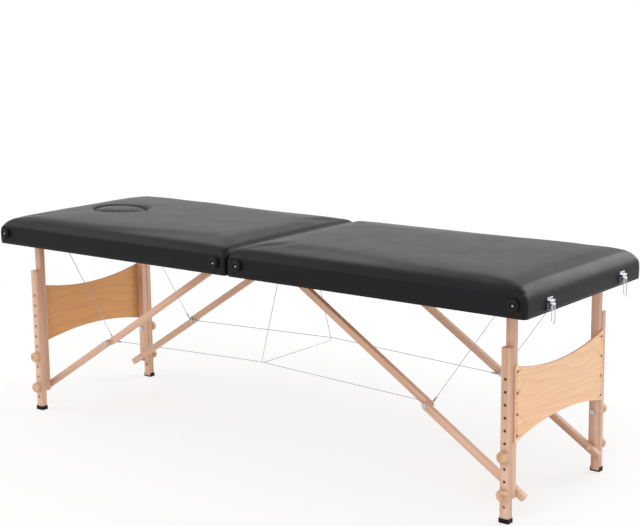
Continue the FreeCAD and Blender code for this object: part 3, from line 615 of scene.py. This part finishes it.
def gather_corners(bm, side):
    """Cover drawn round each corner: a fold laid over the long side, gathers above it, faint slack."""
    for vert in bm.verts:
        co = vert.co.copy()
        away = vert.normal.copy()
        rise = (co.z - UNDERSIDE) / (BOARD_TOP + 0.030 - UNDERSIDE)
        if rise < 0.06:
            continue
        vert.co += away * noise.noise(Vector((co.x * 9, co.y * 9, co.z * 30))) * SLACK
        from_side = HALF_WIDTH - abs(co.y)
        from_end = HALF_LENGTH - side * co.x
        from_split = side * co.x - SPLIT
        reach = min(from_end, from_split)
        if reach > CORNER_REACH or from_side > CORNER_REACH:
            continue
        fold_at = 0.017 + 0.010 * (1 - rise)
        flap = eased_step((fold_at - reach) / 0.0025) * eased_step((0.006 - from_side) / 0.004)
        flap *= eased_step(rise * 5) * eased_step((0.86 - rise) * 5)
        vert.co.y += math.copysign(FOLD_DEPTH * flap, co.y)
        hub = CORNER_ROUND + 0.012
        round_share = math.atan2(hub - from_side, hub - reach) / (math.pi / 2)
        band = eased_step((rise - 0.62) * 5) * eased_step((1.08 - rise) * 5)
        nearness = eased_step((0.034 - math.hypot(max(0.0, from_side), max(0.0, reach))) / 0.016)
        crease = sum(deep * math.exp(-((round_share - at) / GATHER_WIDTH) ** 2) for at, deep in GATHERS)
        vert.co -= away * crease * band * nearness


def finish_underneath(bm, side, holed):
    """Trim the filled cover along the bottom edge of the rails and close it against rails and board."""
    trim_below(bm, everything(bm), UNDERSIDE + 0.004)
    hole_rim = []
    if holed:
        faces = [face for face in bm.faces if oval_reach(face.calc_center_median()) < 1.12
                 and face.calc_center_median().z < BOARD_TOP + 0.012]
        part = list(dict.fromkeys(item for face in faces for item in [face, *face.edges, *face.verts]))
        trim_below(bm, part, BOARD_TOP + 0.001)
        hole_rim = [edge for edge in bm.edges if edge.is_boundary and oval_reach(edge.verts[0].co) < 1.3]
    at_hole = set(hole_rim)
    rim = [edge for edge in bm.edges if edge.is_boundary and edge not in at_hole]
    for vert in {vert for edge in rim for vert in edge.verts}:
        vert.co.z = UNDERSIDE - HEM_THICKNESS
    middle_x = side * (HALF_LENGTH + SPLIT) / 2
    half_length = (HALF_LENGTH - SPLIT) / 2
    hem_top = UNDERSIDE - HAIR
    inside = BOARD_TOP + 0.0004
    rail_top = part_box("foot_rails")[1].z
    rings = ((UNDERSIDE - HEM_THICKNESS, HEM_WIDTH, 0), (hem_top, 0, 0),
             (hem_top, COVER_WALL - HEM_WIDTH, 0), (rail_top - END_SLOPE, 0, 0),
             (rail_top + 0.0002, 0, END_SLOPE), (inside, 0, 0))
    for level, draw_in, slope in rings:
        grown = bmesh.ops.extrude_edge_only(bm, edges=rim)["geom"]
        rim = [edge for edge in edges_of(grown) if edge.is_boundary]
        for vert in [item for item in grown if isinstance(item, bmesh.types.BMVert)]:
            if HALF_LENGTH - side * vert.co.x < 0.02:
                vert.co.x -= side * slope
            vert.co.x -= draw_in * (vert.co.x - middle_x) / half_length
            vert.co.y -= draw_in * vert.co.y / HALF_WIDTH
            vert.co.z = level
    if holed:
        bmesh.ops.bridge_loops(bm, edges=rim + hole_rim)
    else:
        bmesh.ops.contextual_create(bm, geom=rim)
    bmesh.ops.recalc_face_normals(bm, faces=bm.faces)
    if bm.calc_volume(signed=True) < 0:
        bmesh.ops.reverse_faces(bm, faces=bm.faces)


def upholster(end, side):
    """Filled leathercloth cover of one half, drawn over board and rails in one piece."""
    low = Vector((SPLIT + 0.0015, -HALF_WIDTH, UNDERSIDE - 0.012))
    high = Vector((HALF_LENGTH, HALF_WIDTH, BOARD_TOP + PAD_RISE))
    bm = bmesh.new()
    bmesh.ops.create_cube(bm, size=1)
    bmesh.ops.scale(bm, vec=high - low, verts=bm.verts)
    middle = (low + high) / 2
    bmesh.ops.translate(bm, vec=(side * middle.x, middle.y, middle.z), verts=bm.verts)
    weight = bm.edges.layers.float.new("bevel_weight_edge")
    for edge in bm.edges:
        heights = sorted(vert.co.z for vert in edge.verts)
        if heights[0] > high.z - HAIR:
            reach = [side * vert.co.x for vert in edge.verts]
            edge_round = SIDE_ROUND
            if min(reach) > middle.x:
                edge_round = END_ROUND
            elif max(reach) < middle.x:
                edge_round = SPLIT_ROUND
            edge[weight] = edge_round / END_ROUND
        elif heights[1] > high.z - HAIR:
            edge[weight] = CORNER_ROUND / END_ROUND
    obj = finished(f"{end}_cushion", bm, "cover")
    roll = obj.modifiers.new("rolled_edge", "BEVEL")
    roll.limit_method = "WEIGHT"
    roll.width = END_ROUND
    roll.segments = 10
    take_mesh(obj, baked(obj))
    if side < 0:
        cut_face_hole(obj, 0)
    remesh_evenly(obj, CUSHION_MESH)
    for vert in obj.data.vertices:
        along = (abs(vert.co.x) - middle.x) / ((high.x - low.x) / 2)
        across = vert.co.y / HALF_WIDTH
        end_fall = abs(along) ** (6 if along > 0 else 12)
        lift = max(0.0, 1 - end_fall) * max(0.0, 1 - abs(across) ** 5)
        top_share = held_share((vert.co.z - BOARD_TOP) / 0.02)
        vert.co.z += CROWN * lift * top_share

    def tacked(co):
        below = (BOARD_TOP + 0.012 - co.z) / 0.02
        at_end = (0.040 - HALF_LENGTH + side * co.x) / 0.02
        return held_share(max(below, at_end))

    puff(obj, *CUSHION_FILLING, tacked)
    settle(obj, lambda co: co.z > BOARD_TOP + 0.003 or at_end_roll(co, side), 6)
    subdivide_once(obj)
    for vert in obj.data.vertices:
        vert.co.x = side * max(side * vert.co.x, SPLIT - 0.0006)
    bm = bmesh.new()
    bm.from_mesh(obj.data)
    refine_corners(bm, side)
    bm.normal_update()
    gather_corners(bm, side)
    finish_underneath(bm, side, side < 0)
    bm.to_mesh(obj.data)
    bm.free()
    obj.data.shade_smooth()
    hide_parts(f"{end}_pad", f"{end}_cover_skirt")
    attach(obj, f"{end}_half")


def make_face_plug():
    """Padded plug of the face hole, with its own rolled edge."""
    bm = bmesh.new()
    low = BOARD_TOP + 0.0008
    high = BOARD_TOP + PLUG_RISE
    oval_column(bm, low, high, PLUG_GAP)
    rims = [edge for edge in bm.edges if min(vert.co.z for vert in edge.verts) > high - HAIR
            and edge.calc_face_angle(0) > 0.5]
    ease_bevel(bm, rims, PLUG_ROUND, 5)
    obj = finished("face_hole_plug", bm, "cover")
    remesh_evenly(obj, PLUG_MESH)
    puff(obj, *PLUG_FILLING, lambda co: 1.0 if co.z < low + 0.004 else 0.0)
    subdivide_once(obj)
    for vert in obj.data.vertices:
        reach = min(1.0, oval_reach(vert.co))
        if vert.co.z > low + 0.012:
            vert.co.z += PLUG_CROWN * (1 - reach ** 2)
        vert.co.z = max(vert.co.z, low)
    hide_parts("face_plug")
    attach(obj, "face_plug")


# Woodwork

LOWER_LEG_Y = (0.227, 0.247)
LOWEST_HOLE = 0.041
HOLE_PITCH = 0.032
HOLE_COUNT = 11
LEG_HOLE_RADIUS = 0.00425
RAIL_THICKNESS = 0.020
RAIL_JOINT = 0.0002
RAIL_EASE = 0.0012
LEG_ROUND = 0.0035
LEG_EASE = 0.0010
# Taken off the board's length at the end and at the split.
BOARD_SHORT = (END_SLOPE + 0.002, 0.003)


def block(low, high):
    """Plain squared block between two corners."""
    bm = bmesh.new()
    bmesh.ops.create_cube(bm, size=1)
    bmesh.ops.scale(bm, vec=high - low, verts=bm.verts)
    bmesh.ops.translate(bm, vec=(low + high) / 2, verts=bm.verts)
    return bm


def make_rails(end, side):
    """Frame of rails under the board, its outer corners rounded for the cover."""
    low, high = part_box(f"{end}_rails")
    inner_low = low + Vector((RAIL_THICKNESS, RAIL_THICKNESS, 0))
    inner_high = high - Vector((RAIL_THICKNESS, RAIL_THICKNESS, 0))
    crosswise = [(low, Vector((inner_low.x, high.y, high.z)), low.x),
                 (Vector((inner_high.x, low.y, low.z)), high, high.x)]
    boards = []
    for corner, opposite, outer_x in crosswise:
        bm = block(corner, opposite)
        outer = [edge for edge in upright_edges(bm, 0.01)
                 if all(abs(vert.co.x - outer_x) < 1e-5 for vert in edge.verts)]
        ease_bevel(bm, outer, FRAME_CORNER, 6)
        if side * outer_x > (HALF_LENGTH + SPLIT) / 2:
            cut = bmesh.ops.bisect_plane(bm, geom=everything(bm), dist=SNAP, plane_no=(side, 0, 1),
                                         plane_co=(outer_x, 0, high.z - END_SLOPE), clear_outer=True)
            bmesh.ops.contextual_create(bm, geom=edges_of(cut["geom_cut"]))
        boards.append(bm)
    start_x, stop_x = inner_low.x + RAIL_JOINT, inner_high.x - RAIL_JOINT
    boards.append(block(Vector((start_x, low.y, low.z)), Vector((stop_x, inner_low.y, high.z))))
    boards.append(block(Vector((start_x, inner_high.y, low.z)), Vector((stop_x, high.y, high.z))))
    for bm in boards:
        ease_bevel(bm, square_edges(bm), RAIL_EASE, 2)
    obj = joined(f"{end}_frame_rails", boards, "rail")
    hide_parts(f"{end}_rails")
    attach(obj, f"{end}_half")


def make_board(end, side):
    """Hardboard under the padding; the head half's has the hole that the plug rests over."""
    low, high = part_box(f"{end}_board")
    at_end, at_split = BOARD_SHORT
    low.x += at_split if side > 0 else at_end
    high.x -= at_end if side > 0 else at_split
    bm = block(low, high)
    ease_bevel(bm, upright_edges(bm, 0.001), FRAME_CORNER, 6)
    obj = finished(f"{end}_deck_board", bm, "board")
    if side < 0:
        cut_face_hole(obj, PLUG_LEDGE)
    obj.data.set_sharp_from_angle(angle=CREASE)
    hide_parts(f"{end}_board")
    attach(obj, f"{end}_half")


def make_lower_legs(end):
    """Sliding lower legs with rounded edges and a row of clean holes."""
    low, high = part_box(f"{end}_lower_legs")
    legs = []
    drills = []
    for y_way in SIDES:
        near_y, far_y = sorted(y_way * y for y in LOWER_LEG_Y)
        bm = block(Vector((low.x, near_y, low.z)), Vector((high.x, far_y, high.z)))
        ease_bevel(bm, upright_edges(bm, 0.1), LEG_ROUND, 4)
        ease_bevel(bm, square_edges(bm), LEG_EASE, 2)
        legs.append(bm)
        for step in range(HOLE_COUNT):
            drill = bmesh.new()
            bmesh.ops.create_cone(drill, cap_ends=True, segments=24, radius1=LEG_HOLE_RADIUS,
                                  radius2=LEG_HOLE_RADIUS, depth=0.06)
            height = LOWEST_HOLE + step * HOLE_PITCH
            place = Vector(((low.x + high.x) / 2, (near_y + far_y) / 2, height))
            turn = Matrix.Rotation(math.pi / 2, 4, "X")
            bmesh.ops.transform(drill, matrix=Matrix.Translation(place) @ turn, verts=drill.verts)
            drills.append(drill)
    obj = joined(f"{end}_sliding_legs", legs, "leg")
    cut_away(obj, joined("leg_drills", drills, "leg"))
    obj.data.set_sharp_from_angle(angle=CREASE)
    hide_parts(f"{end}_lower_legs")
    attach(obj, f"{end}_leg_frame")


# Stay cables

KNEE = Vector((0.5695, 0.1685, 0.2395))
EYE = Vector((0.800, 0.1685, 0.5595))
CENTRE_HEIGHT = 0.262
HANGER = Vector((0.075, 0.1608, 0.5355))
WIRE_RADIUS = 0.0009
# Length and radius of the pressed sleeves.
KNEE_SLEEVE = (0.016, 0.0026)
END_SLEEVE = (0.014, 0.0024)


def wire_run(points):
    """Thin round wire through the points, as a mesh."""
    curve = bpy.data.curves.new("wire_run", "CURVE")
    curve.dimensions = "3D"
    curve.bevel_depth = WIRE_RADIUS
    curve.bevel_resolution = 2
    curve.use_fill_caps = True
    spline = curve.splines.new("NURBS")
    spline.points.add(len(points) - 1)
    for point, place in zip(spline.points, points):
        point.co = (*place, 1)
    spline.order_u = 3
    spline.use_endpoint_u = True
    spline.resolution_u = 6
    obj = bpy.data.objects.new("wire_run", curve)
    scene.collection.objects.link(obj)
    mesh = baked(obj)
    bpy.data.objects.remove(obj)
    return mesh


def crimp(start, toward, length, radius):
    """Pressed sleeve on the end of a wire."""
    bm = bmesh.new()
    bmesh.ops.create_cone(bm, cap_ends=True, segments=16, radius1=radius, radius2=radius, depth=length)
    ease_bevel(bm, square_edges(bm), radius * 0.3, 2)
    way = (toward - start).normalized()
    turn = way.to_track_quat("Z", "Y").to_matrix().to_4x4()
    place = Matrix.Translation(start + way * length / 2) @ turn
    bmesh.ops.transform(bm, matrix=place, verts=bm.verts)
    return bm


def mirrored(place, x_way, y_way):
    """The same place on another leg."""
    return Vector((x_way * place.x, y_way * place.y, place.z))


def make_cables(end, side):
    """End and long stay cables of one half, with the pressed sleeves on their ends."""
    bm = bmesh.new()
    sleeves = []
    runs = []
    for y_way in SIDES:
        knee = mirrored(KNEE, side, y_way)
        eye = mirrored(EYE, side, y_way)
        centre = Vector((side * SPLIT, y_way * KNEE.y, CENTRE_HEIGHT))
        runs.append([eye, knee])
        runs.append([knee + Vector((-side * 0.004, 0, WIRE_RADIUS)), centre])
        sleeves.append(crimp(knee.lerp(eye, 0.02), eye, *KNEE_SLEEVE))
        sleeves.append(crimp(eye, knee, *END_SLEEVE))
        sleeves.append(crimp(knee.lerp(centre, 0.02), centre, *KNEE_SLEEVE))
    half_stirrup_y = -side * HANGER.y
    hung = Vector((side * HANGER.x, half_stirrup_y, HANGER.z))
    low = Vector((0, half_stirrup_y, CENTRE_HEIGHT - 0.006))
    near_low = low + (hung - low).normalized() * 0.02
    runs.append([hung, near_low, low, low + Vector((0, side * 0.02, 0)), Vector((0, 0, low.z))])
    sleeves.append(crimp(hung, low, *END_SLEEVE))
    for points in runs:
        mesh = wire_run(points)
        bm.from_mesh(mesh)
        bpy.data.meshes.remove(mesh)
    wires = finished(f"{end}_stay_cables", bm, "wire")
    ends = joined(f"{end}_cable_sleeves", sleeves, "steel")
    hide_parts(f"{end}_cables")
    for piece in (wires, ends):
        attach(piece, f"{end}_half")
        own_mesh(piece)


# Trim

# Profiles as (radius, height) pairs.
CASE_FOOT = ((0.0, 0.0), (0.0145, 0.0), (0.0150, 0.0008), (0.0150, 0.0030), (0.0142, 0.0078),
             (0.0128, 0.0104), (0.0112, 0.0116), (0.0092, 0.0119), (0.0074, 0.0112), (0.0064, 0.0098),
             (0.0061, 0.0080), (0.0, 0.0078))
SCREW_HEAD = ((0.0, 0.0080), (0.0036, 0.0081), (0.0038, 0.0086), (0.0033, 0.0094), (0.0022, 0.0099),
              (0.0, 0.0101))
SCREW_SLOTS = (Vector((0.0021, 0.0009, 0.00045)), Vector((0.00045, 0.00088, 0.0021)))
# Along the table, one case foot near the end and one near the split; height over the underside.
CASE_FOOT_X = (HALF_LENGTH - 0.030, 0.040)
CASE_FOOT_HEIGHT = 0.031
STRAP_WIDTH = 0.024
STRAP_THICKNESS = 0.0034
GRIP_SWELL = 0.0022
STRAP_PLATE = Vector((0.011, 0.0009, 0.0125))


def turned_piece(profile, centre, axis_turn):
    """Full turn of a profile, set with its foot at centre."""
    bm = bmesh.new()
    verts = [bm.verts.new((radius, 0, height)) for radius, height in profile]
    edges = [bm.edges.new(pair) for pair in zip(verts, verts[1:])]
    bmesh.ops.spin(bm, geom=verts + edges, cent=(0, 0, 0), axis=(0, 0, 1), angle=math.tau, steps=40,
                   use_merge=True)
    bmesh.ops.remove_doubles(bm, verts=bm.verts, dist=SNAP)
    bmesh.ops.recalc_face_normals(bm, faces=bm.faces)
    bmesh.ops.transform(bm, matrix=Matrix.Translation(centre) @ axis_turn, verts=bm.verts)
    return bm


def make_bumpers(end, side):
    """Round rubber case feet, dished in front, each with a cross-head screw."""
    outward = Matrix.Rotation(math.pi / 2, 4, "X")
    feet = []
    screws = []
    tops = []
    for x in CASE_FOOT_X:
        centre = Vector((side * x, -HALF_WIDTH, UNDERSIDE + CASE_FOOT_HEIGHT))
        tops.append(centre - Vector((0, 0.0102, 0)))
        feet.append(turned_piece(CASE_FOOT, centre, outward))
        screws.append(turned_piece(SCREW_HEAD, centre, outward))
    rubber = joined(f"{end}_case_feet", feet, "rubber")
    metal = joined(f"{end}_case_foot_screws", screws, "dull_steel")
    for half_size in SCREW_SLOTS:
        slots = [block(top - half_size, top + half_size) for top in tops]
        cut_away(metal, joined("cross_recess", slots, "dull_steel"))
    metal.data.set_sharp_from_angle(angle=CREASE)
    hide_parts(f"{end}_side_bumpers")
    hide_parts(f"{end}_bumper_screws")
    for piece, slot in ((rubber, "rubber"), (metal, "steel")):
        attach(piece, f"{end}_half")


def make_carry_strap():
    """Webbing strap bent into a handle, thicker at the grip."""
    low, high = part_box("carry_handle")
    middle = (low + high) / 2
    reach = (high.x - low.x) / 2 - 0.002
    rise = high.y - low.y - 0.002
    radius = (reach ** 2 + rise ** 2) / (2 * rise)
    sweep = 2 * math.asin(reach / radius)
    bm = bmesh.new()
    bmesh.ops.create_grid(bm, x_segments=6, y_segments=1, size=0.5)
    bmesh.ops.scale(bm, vec=(STRAP_WIDTH, STRAP_THICKNESS, 1), verts=bm.verts)
    hub = Vector((middle.x, low.y + rise - radius, middle.z))
    middle_radius = radius - STRAP_THICKNESS / 2
    start = Matrix.Rotation(sweep / 2, 4, "Z") @ Matrix.Translation((0, middle_radius, 0))
    stand = Matrix(((0, 0, 1, 0), (0, 1, 0, 0), (1, 0, 0, 0), (0, 0, 0, 1)))
    bmesh.ops.transform(bm, matrix=Matrix.Translation(hub) @ start @ stand, verts=bm.verts)
    bmesh.ops.spin(bm, geom=bm.faces[:], cent=hub, axis=(0, 0, 1), angle=-sweep, steps=48)
    bmesh.ops.recalc_face_normals(bm, faces=bm.faces)
    for vert in bm.verts:
        share = abs(vert.co.x - middle.x) / reach
        grip = held_share((0.52 - share) / 0.12)
        from_hub = Vector((vert.co.x - hub.x, vert.co.y - hub.y, 0))
        edge = (vert.co.z - middle.z) / (STRAP_WIDTH / 2)
        thicken = GRIP_SWELL * grip * (1 - edge ** 2)
        offset = from_hub.length - middle_radius
        vert.co += from_hub.normalized() * math.copysign(thicken, offset) * (0.3 if offset > 0 else 1.0)
    sharp = [edge for edge in bm.edges if edge.calc_face_angle(0) > 0.9]
    ease_bevel(bm, sharp, 0.0007, 2)
    obj = finished("carry_strap", bm, "webbing")
    plates = []
    for x_way in (-1, 1):
        foot = Vector((middle.x + x_way * (reach - 0.016), low.y + 0.0058, middle.z))
        plate = block(foot - STRAP_PLATE, foot + STRAP_PLATE)
        lean = Matrix.Rotation(-x_way * sweep * 0.43, 4, "Z")
        lean = Matrix.Translation(foot) @ lean @ Matrix.Translation(-foot)
        bmesh.ops.transform(plate, matrix=lean, verts=plate.verts)
        ease_bevel(plate, [edge for edge in plate.edges if edge.calc_length() < 0.003], 0.003, 3)
        plates.append(plate)
    anchors = joined("carry_strap_plates", plates, "steel")
    anchors.data.set_sharp_from_angle(angle=CREASE)
    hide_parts("carry_handle")
    for piece, slot in ((obj, "webbing"), (anchors, "steel")):
        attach(piece, "foot_half")


# Studio

# Place, size and power of the softboxes.
LAMPS = {"key_softbox": ((1.2, -3.6, 3.4), 2.6, 55), "fill_softbox": ((-3.2, -1.6, 2.6), 2.4, 22),
         "back_softbox": ((1.5, 3.8, 2.5), 2.8, 78)}
LAMP_TARGET = Vector((0, 0, 0.4))
FLOOR_REACH = 14


def make_floor():
    """White floor with a soft shadow near the table, lost in the background farther out."""
    bm = bmesh.new()
    bmesh.ops.create_grid(bm, x_segments=1, y_segments=1, size=FLOOR_REACH)
    mesh = bpy.data.meshes.new("floor")
    bm.to_mesh(mesh)
    bm.free()
    floor = bpy.data.objects.new("floor", mesh)
    scene.collection.objects.link(floor)
    material, tree, shader = start_finish("pale_floor")
    shader.inputs["Base Color"].default_value = (0.95, 0.95, 0.95, 1)
    shader.inputs["Roughness"].default_value = 0.9
    shader.inputs["Specular IOR Level"].default_value = 0.0
    reach = add_node(tree, "ShaderNodeVectorMath", {0: piece_place(tree)}, operation="LENGTH")
    fade = {"Value": reach.outputs["Value"], "From Min": 1.3, "From Max": 2.6}
    far = add_node(tree, "ShaderNodeMapRange", fade, interpolation_type="SMOOTHSTEP").outputs["Result"]
    glow = add_node(tree, "ShaderNodeEmission", {"Color": (*WHITE, 1), "Strength": 1.0})
    seen = add_node(tree, "ShaderNodeLightPath").outputs["Is Camera Ray"]
    share = worked_out(tree, "MAXIMUM", far, worked_out(tree, "MULTIPLY", seen, 0.6))
    cover = add_node(tree, "ShaderNodeMixShader",
                     {0: share, 1: shader.outputs["BSDF"], 2: glow.outputs["Emission"]})
    tree.links.new(cover.outputs["Shader"], tree.nodes["Material Output"].inputs["Surface"])
    mesh.materials.append(material)


def make_light():
    """White surroundings and three softboxes."""
    world = bpy.data.worlds.new("studio")
    scene.world = world
    world.use_nodes = True
    tree = world.node_tree
    background = tree.nodes["Background"]
    rays = add_node(tree, "ShaderNodeLightPath")
    seen = worked_out(tree, "MAXIMUM", rays.outputs["Is Camera Ray"], rays.outputs["Is Glossy Ray"])
    seen = worked_out(tree, "MAXIMUM", seen, rays.outputs["Is Transmission Ray"])
    tree.links.new(span_value(tree, seen, 0.8, 1.0), background.inputs["Strength"])
    background.inputs["Color"].default_value = (*WHITE, 1)
    for name, (place, size, power) in LAMPS.items():
        data = bpy.data.lights.new(name, "AREA")
        data.shape = "SQUARE"
        data.size = size
        data.energy = power
        lamp = bpy.data.objects.new(name, data)
        lamp.location = place
        aim = LAMP_TARGET - Vector(place)
        lamp.rotation_euler = aim.to_track_quat("-Z", "Y").to_euler()
        scene.collection.objects.link(lamp)
    scene.view_settings.view_transform = "Standard"


set_camera()
dress_nodes()
for end, side in ENDS:
    make_cables(end, side)
    make_rails(end, side)
    make_board(end, side)
    make_lower_legs(end)
    upholster(end, side)
    make_bumpers(end, side)
make_face_plug()
make_carry_strap()
make_floor()
make_light()
